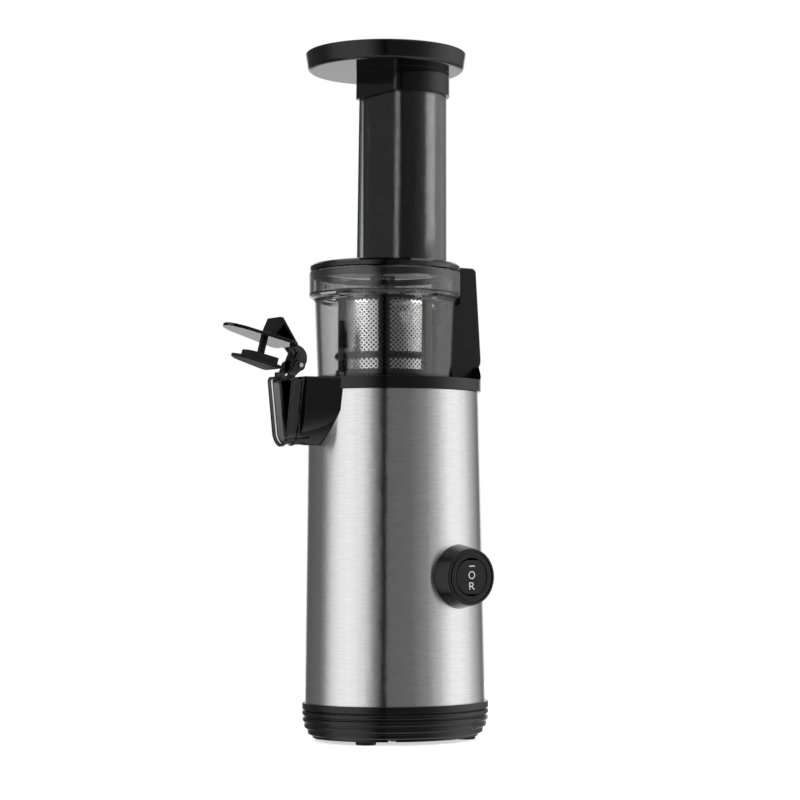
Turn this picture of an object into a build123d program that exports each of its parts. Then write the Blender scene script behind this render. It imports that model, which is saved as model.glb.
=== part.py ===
from build123d import *
import os
from math import acos, atan2, cos, degrees, hypot, pi, radians, sin, sqrt, tan

# Slow juicer that stands on four rubber feet. Millimetres, +Z up, front towards -Y.
# The bowl, the auger and the drive shaft share the Z axis; the feet stand on Z = 0.

# --- driving dimensions: body ---
PAN_BOTTOM = 2.0
SHELL_BOTTOM = 22.0
SHELL_TOP = 200.0
SHELL_BOTTOM_RADIUS, SHELL_BOTTOM_LENGTH = 46.1, 14.4
SHELL_TOP_RADIUS, SHELL_TOP_LENGTH = 44.2, 12.2
STEEL = 0.8
BAND_RADIUS, BAND_LENGTH = 47.8, 14.8
PAN_RIM_DEPTH = 10.0
# The outline is an oval of four arcs: its sides bow out past the radius and its ends are tighter.
SIDE_BOW, END_DRAW, END_REACH = 0.8, 5.1, 6.0
DECK_BOTTOM, DECK_TOP = 194.0, 197.0
ROD_PLACES = [(33, -17), (-33, -17), (17, 48.8), (-17, 48.8)]
FOOT_PLACES = [(22, -27), (-22, -27), (22, 41), (-22, 41)]
CORD_Z, CORD_HOLE_RADIUS = 12.4, 4.9
# --- driving dimensions: bowl unit ---
RING_BOTTOM, RING_TOP = 200.3, 207.0
RING_RADIUS, RING_LENGTH = 45.5, 12.5
BOWL_FLOOR = 206.3
BOWL_WALL = 2.5
BOWL_BOTTOM_RADIUS, BOWL_TOP_RADIUS = 39.05, 40.7
SHOULDER = 252.5
COLLAR_BOTTOM, COLLAR_TOP, COLLAR_RADIUS = 255.5, 269.0, 44.0
BLOCK_FRONT, BLOCK_BACK = -61.5, -30.0
RIM_FRONT = -70.5
CAP_PIVOT_Y, CAP_PIVOT_Z = -61.9, 213.0
CAP_OPEN, STEM_Z = 104.7, 190.9
STRAINER_RADIUS, STRAINER_TOP = 28.7, 255.0
FLIGHT_RADIUS = 26.3
# --- driving dimensions: lid, chute, tray and pusher ---
LID_TOP, LID_RADIUS = 274.0, 43.6
CHUTE_BOTTOM_RADIUS, CHUTE_BOTTOM_CENTRE, CHUTE_BOTTOM_FLAT = 26.95, 10.7, -6.85
CHUTE_TOP_RADIUS, CHUTE_TOP_CENTRE, CHUTE_TOP_FLAT = 26.1, 11.75, -5.3
CHUTE_TOP, CHUTE_WALL = 389.5, 2.2
SLEEVE_BOTTOM, TRAY_BOTTOM, TRAY_TOP, TRAY_RADIUS, TRAY_Y = 373.0, 386.6, 397.3, 46.65, 0.5
PUSHER_BOTTOM, PUSHER_GAP, PUSHER_TOP = 276.0, 0.6, 402.4
# --- driving dimensions: switch, on the +X side ---
SWITCH_Y, SWITCH_Z = 21.0, 94.0
SWITCH_FACE, ROCKER_PIVOT_X, ROCKER_RADIUS = 57.0, 53.0, 10.2
# --- driving dimensions: motor and gears ---
MOTOR_BOTTOM, MOTOR_TOP, MOTOR_RADIUS = 50.0, 118.0, 27.5
GEARBOX_BOTTOM, GEARBOX_TOP, GEARBOX_RADIUS, GEARBOX_Y = 120.0, 168.0, 38.2, 12.0
MODULE, PRESSURE, STUB, DEDENDUM, BACKLASH = 0.8, radians(20), 0.75, 1.0, 0.14
PINION_TEETH, WHEEL_TEETH, LAST_PINION_TEETH, OUTPUT_TEETH = 12, 45, 14, 56
SHAFT_RADIUS, HEX_FLATS, HEX_GAP = 5.0, 9.6, 0.3
SECOND_AXLE_X = 8.0


def disc(radius, bottom, top, x=0.0, y=0.0):
    return Pos(x, y, (bottom + top) / 2) * Cylinder(radius, top - bottom)


def tube(outer, inner, bottom, top, x=0.0, y=0.0):
    return disc(outer, bottom, top, x, y) - disc(inner, bottom - 1, top + 1, x, y)


def block(x0, x1, y0, y1, z0, z1):
    return Pos((x0 + x1) / 2, (y0 + y1) / 2, (z0 + z1) / 2) * Box(x1 - x0, y1 - y0, z1 - z0)


def turned(points):
    return revolve(Plane.XZ * make_face(Polyline(*points, close=True)), Axis.Z)


def rod_x(radius, x0, x1, y, z):
    return Pos((x0 + x1) / 2, y, z) * Rot(0, 90, 0) * Cylinder(radius, x1 - x0)


def rod_y(radius, y0, y1, x, z):
    return Pos(x, (y0 + y1) / 2, z) * Rot(90, 0, 0) * Cylinder(radius, y1 - y0)


def along_y(face, front, back):
    """A face drawn in X and Z, run from the front Y to the back Y."""
    return extrude(Plane.XZ.offset(-back) * face, amount=back - front)


def arc_centres(length):
    """How far the centres of the end arcs and of the side arcs lie from the middle of an oval."""
    end_centre = length / 2 + END_REACH
    width_gap = SIDE_BOW + END_DRAW
    return end_centre, (end_centre ** 2 - width_gap ** 2) / (2 * width_gap)


def oval_face(radius, length, z):
    """The body's outline: it starts at the bowl's axis and is longer towards the back."""
    end_centre, side_centre = arc_centres(length)
    end_radius = radius - END_DRAW
    lean = atan2(end_centre, side_centre)
    x, y = end_radius * cos(lean), end_centre + end_radius * sin(lean)
    half_width, half_length = radius + SIDE_BOW, end_centre + end_radius
    arcs = [ThreePointArc((x, y), (half_width, 0), (x, -y)),
            ThreePointArc((x, -y), (0, -half_length), (-x, -y)),
            ThreePointArc((-x, -y), (-half_width, 0), (-x, y)),
            ThreePointArc((-x, y), (0, half_length), (x, y))]
    return Pos(0, length / 2, z) * make_face(Curve() + arcs)


def oval(radius, length, bottom, top):
    return extrude(oval_face(radius, length, bottom), amount=top - bottom)


def shell_form(inset, bottom=SHELL_BOTTOM, top=SHELL_TOP):
    """The tapered body as a full form, drawn in by an inset."""
    def section(z):
        share = (z - SHELL_BOTTOM) / (SHELL_TOP - SHELL_BOTTOM)
        radius = SHELL_BOTTOM_RADIUS + share * (SHELL_TOP_RADIUS - SHELL_BOTTOM_RADIUS)
        length = SHELL_BOTTOM_LENGTH + share * (SHELL_TOP_LENGTH - SHELL_BOTTOM_LENGTH)
        return oval_face(radius - inset, length, z)
    return loft([section(bottom), section(top)], ruled=True)


# ---------------------------------------------------------------- motor base

def section_box(outer, bottom, top, rounding=0.0):
    """Section of a rib in radius and height; its corners may be rounded."""
    depth = outer - BAND_RADIUS + PAN_RIM_DEPTH
    middle = Pos(outer - depth / 2, (bottom + top) / 2)
    if rounding:
        return middle * RectangleRounded(depth, top - bottom, rounding)
    return middle * Rectangle(depth, top - bottom)


def oval_rim(section, length):
    """A section carried round the four arcs of an oval."""
    end_centre, side_centre = arc_centres(length)
    lean = degrees(atan2(end_centre, side_centre))
    side_shift = hypot(end_centre, side_centre) - END_DRAW
    rim = Part()
    for turn in (0, 180):
        end = revolve(Plane.XZ * Pos(-END_DRAW, 0) * section, Axis.Z, 180 - 2 * lean)
        side = revolve(Plane.XZ * Pos(side_shift, 0) * section, Axis.Z, 2 * lean)
        rim += Rot(0, 0, turn) * Pos(0, end_centre, 0) * Rot(0, 0, lean) * end
        rim += Rot(0, 0, turn) * Pos(-side_centre, 0, 0) * Rot(0, 0, -lean) * side
    return Pos(0, length / 2, 0) * rim


def base_pan():
    """Black pan: a flat band, rounded ribs that draw in at the bottom, and a floor inside."""
    ribs = [(14.5, 17.6, BAND_RADIUS), (10.8, 13.9, BAND_RADIUS - 0.3),
            (7.1, 10.2, BAND_RADIUS - 1.2), (3.6, 6.5, BAND_RADIUS - 3.2)]
    section = section_box(BAND_RADIUS, 18.1, SHELL_BOTTOM, 0.5) + section_box(BAND_RADIUS - 1.3, 10, 21)
    section += section_box(BAND_RADIUS - 3.0, 6, 12) + section_box(BAND_RADIUS - 6.0, PAN_BOTTOM, 8)
    for bottom, top, radius in ribs:
        section += section_box(radius, bottom, top, 1.2)
    pan = oval_rim(section, BAND_LENGTH)
    pan += oval(BAND_RADIUS - PAN_RIM_DEPTH + 3, BAND_LENGTH, PAN_BOTTOM, 12)
    pan -= oval(SHELL_BOTTOM_RADIUS - 3.4, BAND_LENGTH, 8, 30)
    pan -= oval(SHELL_BOTTOM_RADIUS - 7.0, BAND_LENGTH, PAN_BOTTOM + 2.5, 12)
    for x, y in ROD_PLACES:
        pan += disc(4.5, PAN_BOTTOM + 1, 14, x, y)
    for x, y in ROD_PLACES:
        pan -= disc(2.3, 0, 30, x, y)
        pan -= disc(4.0, PAN_BOTTOM - 1, PAN_BOTTOM + 3, x, y)
    for x, y in FOOT_PLACES:
        pan -= disc(3.1, 0, 6, x, y) + disc(3.9, PAN_BOTTOM + 2.5, 6, x, y)
    for row in range(5):
        pan -= block(-14, 14, -8 + 6 * row, -5.4 + 6 * row, 0, 6)
    for side in (-1, 1):
        slot_y = 7 + side * 14
        pan += block(-38, -33, slot_y - 2, slot_y + 2, 4, 16)
        pan -= block(-36.4, -34.4, slot_y - 3, slot_y + 3, 6, 17)
    pan -= rod_y(6.8, 50, 58.2, 0, CORD_Z)
    return pan - rod_y(CORD_HOLE_RADIUS, 50, 70, 0, CORD_Z)


def rubber_feet():
    """Four round feet, each with a stem pushed into the pan."""
    feet = []
    for x, y in FOOT_PLACES:
        pad = disc(5.8, 0, PAN_BOTTOM, x, y)
        pad = fillet(pad.edges().filter_by(GeomType.CIRCLE).group_by(Axis.Z)[0], 0.6)
        feet.append(pad + disc(3.0, 1, 5.5, x, y) + disc(3.7, 4.6, 5.5, x, y))
    return Compound(children=feet)


def tie_rods():
    """Four long screws that clamp the steel body between the pan and the deck."""
    rods = []
    for x, y in ROD_PLACES:
        head = disc(3.6, PAN_BOTTOM + 0.4, PAN_BOTTOM + 2.9, x, y)
        head -= block(x - 2.4, x + 2.4, y - 0.5, y + 0.5, 0, PAN_BOTTOM + 1.6)
        head -= block(x - 0.5, x + 0.5, y - 2.4, y + 2.4, 0, PAN_BOTTOM + 1.6)
        rods.append(head + disc(2.0, PAN_BOTTOM + 2, DECK_TOP - 3, x, y))
    return Compound(children=rods)


def body_shell():
    shell = shell_form(0) - shell_form(STEEL)
    return shell - rod_x(14.0, 20, 60, SWITCH_Y, SWITCH_Z)


def top_deck():
    """Black deck inside the top of the steel body; its bosses carry the gearbox and the rods."""
    deck = shell_form(STEEL + 0.3, DECK_BOTTOM, DECK_TOP)
    deck += shell_form(STEEL + 0.3, 184, DECK_BOTTOM) - shell_form(STEEL + 2.3, 183, DECK_BOTTOM)
    for x, y in ROD_PLACES:
        deck += disc(4.2, 180, DECK_BOTTOM + 0.5, x, y)
    for x, y in ROD_PLACES:
        deck -= disc(2.05, 170, DECK_TOP - 3, x, y)
    for x, y in cover_screw_places():
        deck += disc(4.0, GEARBOX_TOP + 3.5, DECK_BOTTOM + 0.5, x, y)
        deck -= disc(1.6, GEARBOX_TOP + 3, DECK_BOTTOM - 2, x, y)
    deck -= disc(13.4, 180, 210)
    return deck & shell_form(STEEL + 0.3)


def cord_gland():
    """Rubber gland in the back of the pan, where the mains lead goes in."""
    gland = rod_y(CORD_HOLE_RADIUS - 0.1, 57.4, 64.0, 0, CORD_Z) + rod_y(6.6, 54.1, 57.9, 0, CORD_Z)
    gland += rod_y(7.2, 63.8, 65.2, 0, CORD_Z)
    gland += Pos(0, 66.4, CORD_Z) * Rot(-90, 0, 0) * Cone(5.6, 4.8, 2.4)
    return gland - rod_y(3.2, 50, 80, 0, CORD_Z)


# ---------------------------------------------------------------- switch

def switch_bezel():
    """Round raised surround that sits on the curved steel side."""
    middle = Pos((44 + SWITCH_FACE) / 2, SWITCH_Y, SWITCH_Z)
    bezel = middle * Rot(0, 90, 0) * Cone(18.3, 15.9, SWITCH_FACE - 44)
    bezel += rod_x(18.3, 34, 44.01, SWITCH_Y, SWITCH_Z)
    bezel = fillet(bezel.edges().filter_by(GeomType.CIRCLE).group_by(Axis.X)[-1], 1.0)
    groove = rod_x(14.5, SWITCH_FACE - 0.7, SWITCH_FACE + 1, SWITCH_Y, SWITCH_Z)
    bezel -= groove - rod_x(13.4, SWITCH_FACE - 2, SWITCH_FACE + 2, SWITCH_Y, SWITCH_Z)
    bezel -= shell_form(-0.05)
    bezel -= rod_x(ROCKER_RADIUS + 0.6, 30, 70, SWITCH_Y, SWITCH_Z)
    return bezel - rod_y(1.2, SWITCH_Y - 12, SWITCH_Y + 12, ROCKER_PIVOT_X, SWITCH_Z)


def switch_housing():
    """Insulated body of the switch behind the steel, with its clips."""
    housing = rod_x(13.6, 43.5, 44.6, SWITCH_Y, SWITCH_Z) & shell_form(STEEL + 0.1)
    housing += rod_x(12.8, 27.5, 44.0, SWITCH_Y, SWITCH_Z) & shell_form(STEEL + 0.1)
    housing += rod_x(ROCKER_RADIUS + 0.5, 43.0, 46.7, SWITCH_Y, SWITCH_Z)
    return housing - rod_x(8.8, 34.0, 60.0, SWITCH_Y, SWITCH_Z)


def switch_terminals():
    """Four brass blades at the back of the switch."""
    blades = []
    for row in (-1, 1):
        for side in (-1, 1):
            y, z = SWITCH_Y + 5 * side, SWITCH_Z + 5 * row
            blades.append(block(25.2, 27.5, y - 2.4, y + 2.4, z - 0.4, z + 0.4))
    return Compound(children=blades)


def switch_rocker():
    """Round rocker, rounded about its pivot so that it tips inside its hole."""
    rocker = rod_x(ROCKER_RADIUS, ROCKER_PIVOT_X - 4.0, SWITCH_FACE + 0.6, SWITCH_Y, SWITCH_Z)
    rocker &= rod_y(ROCKER_RADIUS + 0.2, SWITCH_Y - 12, SWITCH_Y + 12, ROCKER_PIVOT_X, SWITCH_Z)
    hollow_radius = 60.0
    rocker -= rod_y(hollow_radius, SWITCH_Y - 12, SWITCH_Y + 12, SWITCH_FACE - 0.2 + hollow_radius, SWITCH_Z)
    return rocker - rod_y(1.25, SWITCH_Y - 12, SWITCH_Y + 12, ROCKER_PIVOT_X, SWITCH_Z)


def rocker_pin():
    """The pin that the rocker tips on; its ends sit in the surround."""
    return rod_y(1.2, SWITCH_Y - 12, SWITCH_Y + 12, ROCKER_PIVOT_X, SWITCH_Z)


# ---------------------------------------------------------------- motor

def motor_can():
    can = tube(MOTOR_RADIUS, MOTOR_RADIUS - 1.5, MOTOR_BOTTOM, MOTOR_TOP)
    can += disc(MOTOR_RADIUS, MOTOR_TOP - 2, MOTOR_TOP)
    can -= disc(6.0, MOTOR_TOP - 5, MOTOR_TOP + 5)
    for turn in range(4):
        can -= Rot(0, 0, 45 + 90 * turn) * block(14, 20, -3, 3, MOTOR_TOP - 5, MOTOR_TOP + 5)
    for side in (-1, 1):
        can -= disc(1.7, MOTOR_TOP - 5, MOTOR_TOP + 5, 0, 14 * side)
    return can


def motor_end_cap():
    """Plastic end cap with the lower bearing seat and two brush boxes."""
    cap = disc(MOTOR_RADIUS, MOTOR_BOTTOM - 4, MOTOR_BOTTOM)
    cap += tube(MOTOR_RADIUS - 1.6, MOTOR_RADIUS - 3.6, MOTOR_BOTTOM - 1, MOTOR_BOTTOM + 5)
    for side in (-1, 1):
        turn = Rot(0, 0, 90 - 90 * side)
        cap += turn * block(11, 21, -4, 4, MOTOR_BOTTOM - 1, MOTOR_BOTTOM + 8)
        cap -= turn * block(8, 24, -2.6, 2.6, MOTOR_BOTTOM + 1, MOTOR_BOTTOM + 6.2)
    for turn in range(6):
        cap -= Rot(0, 0, 30 + 60 * turn) * block(12, 19, -3, 3, MOTOR_BOTTOM - 6, MOTOR_BOTTOM + 0.5)
    return cap - disc(6.0, MOTOR_BOTTOM - 10, MOTOR_BOTTOM + 10)


def carbon_brushes():
    """Two carbon brushes that press on the commutator."""
    brushes = []
    for side in (-1, 1):
        near, far = sorted((7.6 * side, 19 * side))
        brushes.append(block(near, far, -2.5, 2.5, MOTOR_BOTTOM + 1.1, MOTOR_BOTTOM + 6.1))
    return Compound(children=brushes)


def motor_magnets():
    ring = tube(MOTOR_RADIUS - 1.6, MOTOR_RADIUS - 4.8, 64, 108)
    arcs = [Rot(0, 0, 180 * turn) * (ring & block(-40, 40, 8, 40, 60, 110)) for turn in range(2)]
    return Compound(children=arcs)


def motor_bearings():
    """Two bronze bushes for the rotor shaft."""
    lower = tube(5.9, 2.55, MOTOR_BOTTOM - 4, MOTOR_BOTTOM + 1)
    upper = tube(5.9, 2.55, MOTOR_TOP - 3, MOTOR_TOP + 1.5)
    return Compound(children=[lower, upper])


def rotor_shaft():
    return disc(2.5, 31, 137)


def armature():
    """Laminated core with winding slots, and the rounded winding heads at both ends."""
    core = tube(21.6, 2.5, 66, 106)
    for turn in range(12):
        core -= Rot(0, 0, 30 * turn) * (block(10, 19, -2.6, 2.6, 60, 110) + block(18, 24, -0.9, 0.9, 60, 110))
    return core


def windings():
    """Copper windings in the slots, joined by a head at each end."""
    coils = tube(18.0, 9.0, 106.1, 111) + tube(18.0, 9.0, 61, 65.9)
    for turn in range(12):
        coils += Rot(0, 0, 30 * turn) * block(10.4, 17.5, -2.2, 2.2, 65, 107)
    return coils


def commutator():
    bars = tube(7.4, 2.5, MOTOR_BOTTOM + 1.5, MOTOR_BOTTOM + 8.5)
    for turn in range(12):
        bars -= Rot(0, 0, 15 + 30 * turn) * block(6.2, 8, -0.3, 0.3, 40, 70)
    return bars


def cooling_fan():
    fan = disc(6.0, 34, 42) + disc(24.0, 40.5, 42)
    for turn in range(9):
        fan += Rot(0, 0, 40 * turn) * Pos(14.5, 0, 37.5) * Rot(35, 0, 0) * Box(18, 1.4, 8)
    fan &= disc(24.0, 34, 42)
    return fan - disc(2.5, 20, 60)


def motor_screws():
    """Two screws that hold the motor up to the gearbox floor."""
    screws = []
    for side in (-1, 1):
        y = 14 * side
        head = disc(2.8, MOTOR_TOP - 4, MOTOR_TOP - 2, 0, y)
        screws.append(head + disc(1.5, MOTOR_TOP - 2, GEARBOX_BOTTOM + 2.4, 0, y))
    return Compound(children=screws)


def motor_dampers():
    """Two rubber rings between the motor and the gearbox floor."""
    rings = [tube(4.0, 1.6, MOTOR_TOP, GEARBOX_BOTTOM, 0, 14 * side) for side in (-1, 1)]
    return Compound(children=rings)


# ---------------------------------------------------------------- gears

def gear_centres():
    """Where the two layshafts stand, from the pitch radii."""
    first_arm = MODULE * (PINION_TEETH + WHEEL_TEETH) / 2
    last_arm = MODULE * (LAST_PINION_TEETH + OUTPUT_TEETH) / 2
    second = (SECOND_AXLE_X, sqrt(last_arm**2 - SECOND_AXLE_X**2))
    rise = sqrt(first_arm**2 - (last_arm / 2) ** 2)
    across = (-second[1] / last_arm, second[0] / last_arm)
    first = (second[0] / 2 + rise * across[0], second[1] / 2 + rise * across[1])
    return first, second


def gear_face(teeth, turn):
    """An involute spur gear with a tooth centred at the angle turn (radians)."""
    pitch = MODULE * teeth / 2
    base = pitch * cos(PRESSURE)
    tip = pitch + STUB * MODULE
    root = pitch - DEDENDUM * MODULE
    half_at_pitch = pi / (2 * teeth) - BACKLASH / (2 * pitch)

    def half_angle(radius):
        flank = acos(min(1.0, base / radius))
        return half_at_pitch + (tan(PRESSURE) - PRESSURE) - (tan(flank) - flank)

    start = max(base, root)
    flank_radii = [start + (tip - start) * step / 3 for step in range(4)]
    points = []
    for tooth in range(teeth):
        middle = turn + 2 * pi * tooth / teeth
        left = [(root, middle - half_angle(start))] if start > root else []
        left += [(radius, middle - half_angle(radius)) for radius in flank_radii]
        right = [(radius, middle + half_angle(radius)) for radius in reversed(flank_radii)]
        right += [(root, middle + half_angle(start))] if start > root else []
        points += [(radius * cos(angle), radius * sin(angle)) for radius, angle in left + right]
    return make_face(Polyline(*points, close=True))


def gear(teeth, turn, centre, bottom, top):
    return Pos(centre[0], centre[1], bottom) * extrude(gear_face(teeth, turn), amount=top - bottom)


def meshing_turn(teeth_a, turn_a, centre_a, teeth_b, centre_b):
    """The turn of gear b whose gaps take the teeth of gear a."""
    line = Vector(centre_b[0] - centre_a[0], centre_b[1] - centre_a[1])
    angle = radians(Vector(1, 0, 0).get_signed_angle(line, Vector(0, 0, 1)))
    phase_a = (angle - turn_a) * teeth_a / (2 * pi)
    return angle + pi - (0.5 - phase_a) * 2 * pi / teeth_b


def lightened(wheel, teeth, centre, bottom, top):
    """Cuts six round holes through the web of a large wheel."""
    pitch = MODULE * teeth / 2
    for turn in range(6):
        angle = radians(60 * turn)
        wheel -= disc(0.18 * pitch, bottom - 1, top + 1,
                      centre[0] + 0.66 * pitch * cos(angle), centre[1] + 0.66 * pitch * sin(angle))
    return wheel


def gear_train():
    """Motor pinion, two wheel clusters and the output wheel, all in mesh."""
    first, second = gear_centres()
    origin = (0.0, 0.0)
    pinion = gear(PINION_TEETH, 0.0, origin, 127.5, 136.8) - disc(2.5, 100, 150)
    turn_first = meshing_turn(PINION_TEETH, 0.0, origin, WHEEL_TEETH, first)
    first_wheel = gear(WHEEL_TEETH, turn_first, first, 128, 136)
    first_wheel = lightened(first_wheel, WHEEL_TEETH, first, 128, 136)
    first_wheel += gear(PINION_TEETH, turn_first, first, 135.9, 146)
    first_wheel -= disc(2.05, 100, 160, *first)
    turn_second = meshing_turn(PINION_TEETH, turn_first, first, WHEEL_TEETH, second)
    second_wheel = gear(WHEEL_TEETH, turn_second, second, 138, 145.6)
    second_wheel = lightened(second_wheel, WHEEL_TEETH, second, 138, 145.6)
    second_wheel += gear(LAST_PINION_TEETH, turn_second, second, 145.5, 161)
    second_wheel -= disc(2.05, 100, 170, *second)
    turn_output = meshing_turn(LAST_PINION_TEETH, turn_second, second, OUTPUT_TEETH, origin)
    output_wheel = gear(OUTPUT_TEETH, turn_output, origin, 149, 160)
    output_wheel = lightened(output_wheel, OUTPUT_TEETH, origin, 149, 160)
    output_wheel += disc(9, 148.4, 162)
    output_wheel -= disc(SHAFT_RADIUS, 140, 170)
    return pinion, first_wheel, second_wheel, output_wheel


def gear_pins():
    """Two steel pins pressed into the gearbox floor, on which the clusters turn."""
    first, second = gear_centres()
    return Compound(children=[disc(2.0, GEARBOX_BOTTOM + 0.5, 146.6, *first),
                              disc(2.0, GEARBOX_BOTTOM + 0.5, 163.5, *second)])


def cover_screw_places():
    return [(30 * cos(radians(a)), GEARBOX_Y + 30 * sin(radians(a))) for a in (0, 180, 250, 290)]


def gearbox_housing():
    """Round cup below the cover; its floor carries the pins and the motor."""
    first, second = gear_centres()
    inner = GEARBOX_RADIUS - 2.2
    cup = disc(GEARBOX_RADIUS, GEARBOX_BOTTOM, GEARBOX_TOP, 0, GEARBOX_Y)
    cup -= disc(inner, GEARBOX_BOTTOM + 3, GEARBOX_TOP + 1, 0, GEARBOX_Y)
    for centre in (first, second):
        cup += disc(4.5, GEARBOX_BOTTOM + 2, 127.6, *centre)
        cup -= disc(2.0, GEARBOX_BOTTOM + 0.5, 140, *centre)
    second_post = tube(3.6, 2.02, GEARBOX_BOTTOM + 2, 137.6, *second)
    cup += second_post
    for side in (-1, 1):
        cup -= disc(1.5, 100, GEARBOX_BOTTOM + 2.4, 0, 14 * side)
    return cup - disc(6.2, 100, 130)


def gearbox_cover():
    """Lid of the gearbox with a tower that holds the two output bearings."""
    cover = disc(GEARBOX_RADIUS, GEARBOX_TOP, GEARBOX_TOP + 3, 0, GEARBOX_Y)
    cover += disc(13, GEARBOX_TOP - 2, 193)
    cover -= disc(9.5, GEARBOX_TOP - 5, 174)
    cover -= disc(7.5, 170, 184)
    cover -= disc(9.5, 184, 200)
    for x, y in cover_screw_places():
        cover -= disc(1.7, 150, 180, x, y)
    return cover


def cover_screws():
    """Four screws that hang the gearbox from the deck."""
    screws = []
    for x, y in cover_screw_places():
        head = disc(2.8, GEARBOX_TOP - 2, GEARBOX_TOP, x, y)
        screws.append(head + disc(1.55, GEARBOX_TOP - 1, DECK_BOTTOM - 3, x, y))
    return Compound(children=screws)


def drive_bearings():
    lower = tube(9.45, SHAFT_RADIUS + 0.04, 167, 173.6)
    upper = tube(9.45, SHAFT_RADIUS + 0.04, 184.1, 189.5)
    return Compound(children=[lower, upper])


def drive_shaft():
    """Steel output shaft with a hexagonal end that enters the auger."""
    hex_end = extrude(Pos(0, 0, 196) * RegularPolygon(HEX_FLATS / 2, 6, major_radius=False), amount=32)
    shaft = disc(SHAFT_RADIUS, 146.5, 200)
    nose = Pos(0, 0, 226) * Cone(7.5, 4.2, 4)
    return shaft + (hex_end & (disc(20, 190, 224.1) + nose))


def shaft_seal():
    """Rubber lip seal over the upper bearing."""
    return turned([(5.3, 190), (9.4, 190), (9.4, 193), (6.6, 193), (6.0, 191.4), (5.3, 191)])


# ---------------------------------------------------------------- electronics

def control_board():
    return block(-36.2, -34.6, -11, 28, 8.2, 84)


def board_parts():
    """Capacitor, relay, choke and connector soldered to the board."""
    capacitor = rod_y(4.6, -2, 14, -39.9 + 0.1 - 1.0, 66) & block(-44, -36.2, -10, 30, 50, 80)
    relay = block(-42.2, -36.2, 0, 12, 30, 46)
    connector = block(-41.4, -36.2, 12, 20, 17, 29)
    choke = rod_x(4.5, -42.2, -36.2, 7, 54)
    return Compound(children=[capacitor, relay, connector, choke])


# ---------------------------------------------------------------- bowl unit

def shield(half_top, top, half_knee, knee, bottom, corner, tail, bulge=0.36):
    """Flat top, sides that lean in to a knee, then a rounded point at the bottom."""
    bulge_x, bulge_z = 0.64 * half_knee, bottom + bulge * (knee - bottom)
    right = [Line((half_top, top), (half_knee, knee)),
             ThreePointArc((half_knee, knee), (bulge_x, bulge_z), (0, bottom))]
    left = [ThreePointArc((0, bottom), (-bulge_x, bulge_z), (-half_knee, knee)),
            Line((-half_knee, knee), (-half_top, top))]
    face = make_face(Curve() + right + left + [Line((-half_top, top), (half_top, top))])
    upper = face.vertices().filter_by(lambda v: v.Y > top - 0.01)
    face = fillet(upper, corner)
    return fillet(face.vertices().sort_by(Axis.Y)[0], tail)


def juice_block():
    """Block for the spout: it narrows towards its front."""
    front = shield(15.2, 206.6, 13.0, 188.0, 167.4, 1.5, 4.0)
    back = shield(21.3, 206.6, 20.0, 188.0, 167.6, 1.5, 4.0, bulge=0.54)
    return loft([Plane.XZ.offset(-BLOCK_FRONT) * front, Plane.XZ.offset(-BLOCK_BACK) * back], ruled=True)


def rim_face(inset):
    corner, tail = 2.6 - min(inset, 1.4), max(1.6, 5.0 - inset)
    return shield(14.3 - inset, 207 - inset, 8.6 - inset, 174.5, 167 + inset, corner, tail)


def rear_rise():
    """Solid behind the bowl that sweeps up from the ring to the foot of the column."""
    profile = make_face(Curve() + [
        Line((30, 203), (30, RING_TOP)),
        Line((30, RING_TOP), (43, RING_TOP)),
        ThreePointArc((43, RING_TOP), (51.5, 209.2), (56.0, 215.5)),
        Line((56.0, 215.5), (60, 215.5)),
        Line((60, 215.5), (60, 203)),
        Line((60, 203), (30, 203)),
    ])
    sweep_up = extrude(Plane.YZ.offset(-60) * profile, amount=120)
    return sweep_up & oval(RING_RADIUS, RING_LENGTH, 200, 220)


def bowl_base():
    """Black ring under the bowl, with the juice block hanging in front of the steel."""
    front = juice_block() - shell_form(-0.5) - block(-80, 80, -80, 80, RING_BOTTOM, 230)
    base = oval(RING_RADIUS, RING_LENGTH, RING_BOTTOM, RING_TOP) + rear_rise() + front
    base += juice_block() & block(-80, 80, -80, -30, RING_BOTTOM - 0.1, 230)
    base += oval(SHELL_TOP_RADIUS - STEEL - 0.5, SHELL_TOP_LENGTH, 197.5, RING_BOTTOM + 1)
    base -= oval(SHELL_TOP_RADIUS - STEEL - 2.4, SHELL_TOP_LENGTH, 190, RING_TOP - 3.2)
    base -= disc(BOWL_BOTTOM_RADIUS + 0.25, BOWL_FLOOR - 0.1, 230)
    # front: the channel runs over the steel edge and drops into the block
    base += block(-9, 9, -50, -28, RING_BOTTOM, BOWL_FLOOR - 0.1)
    base -= block(-7, 7, -50, -31, 202, 205)
    base -= block(-6, 6, -36, -31, 203, 207)
    base -= along_y(rim_face(4.0), -56, -47.2)
    base -= along_y(rim_face(1.0), -70, -54.9)
    # left: the pulp channel leads to the chute beyond the steel
    base += block(-45, -14, -9, 9, RING_BOTTOM, BOWL_FLOOR - 0.1)
    base -= block(-60, -17, -7, 7, 202, 205)
    base -= block(-25, -17, -6, 6, 203, 207)
    base -= disc(14.5, 190, 220)
    for x, y in column_screw_places():
        base -= disc(1.6, 200, 210, x, y)
        base -= disc(3.2, 200, RING_BOTTOM + 2.2, x, y)
    return base


def pulp_chute():
    """Black spout on the left side that drops the pulp."""
    body = block(-66, -45.6, -13, 13, 178, 206.4)
    body = fillet(body.edges().filter_by(Axis.Z).group_by(Axis.X)[0], 6)
    body = fillet(body.edges().group_by(Axis.Z)[-1].filter_by(lambda e: e.center().X < -46), 3)
    body -= block(-63.8, -47.6, -10.8, 10.8, 170, 204.2)
    body -= block(-60, -40, -7, 7, 202, 205)
    return body - shell_form(-0.5) - oval(RING_RADIUS + 0.02, RING_LENGTH, RING_BOTTOM - 0.02, 220)


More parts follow.
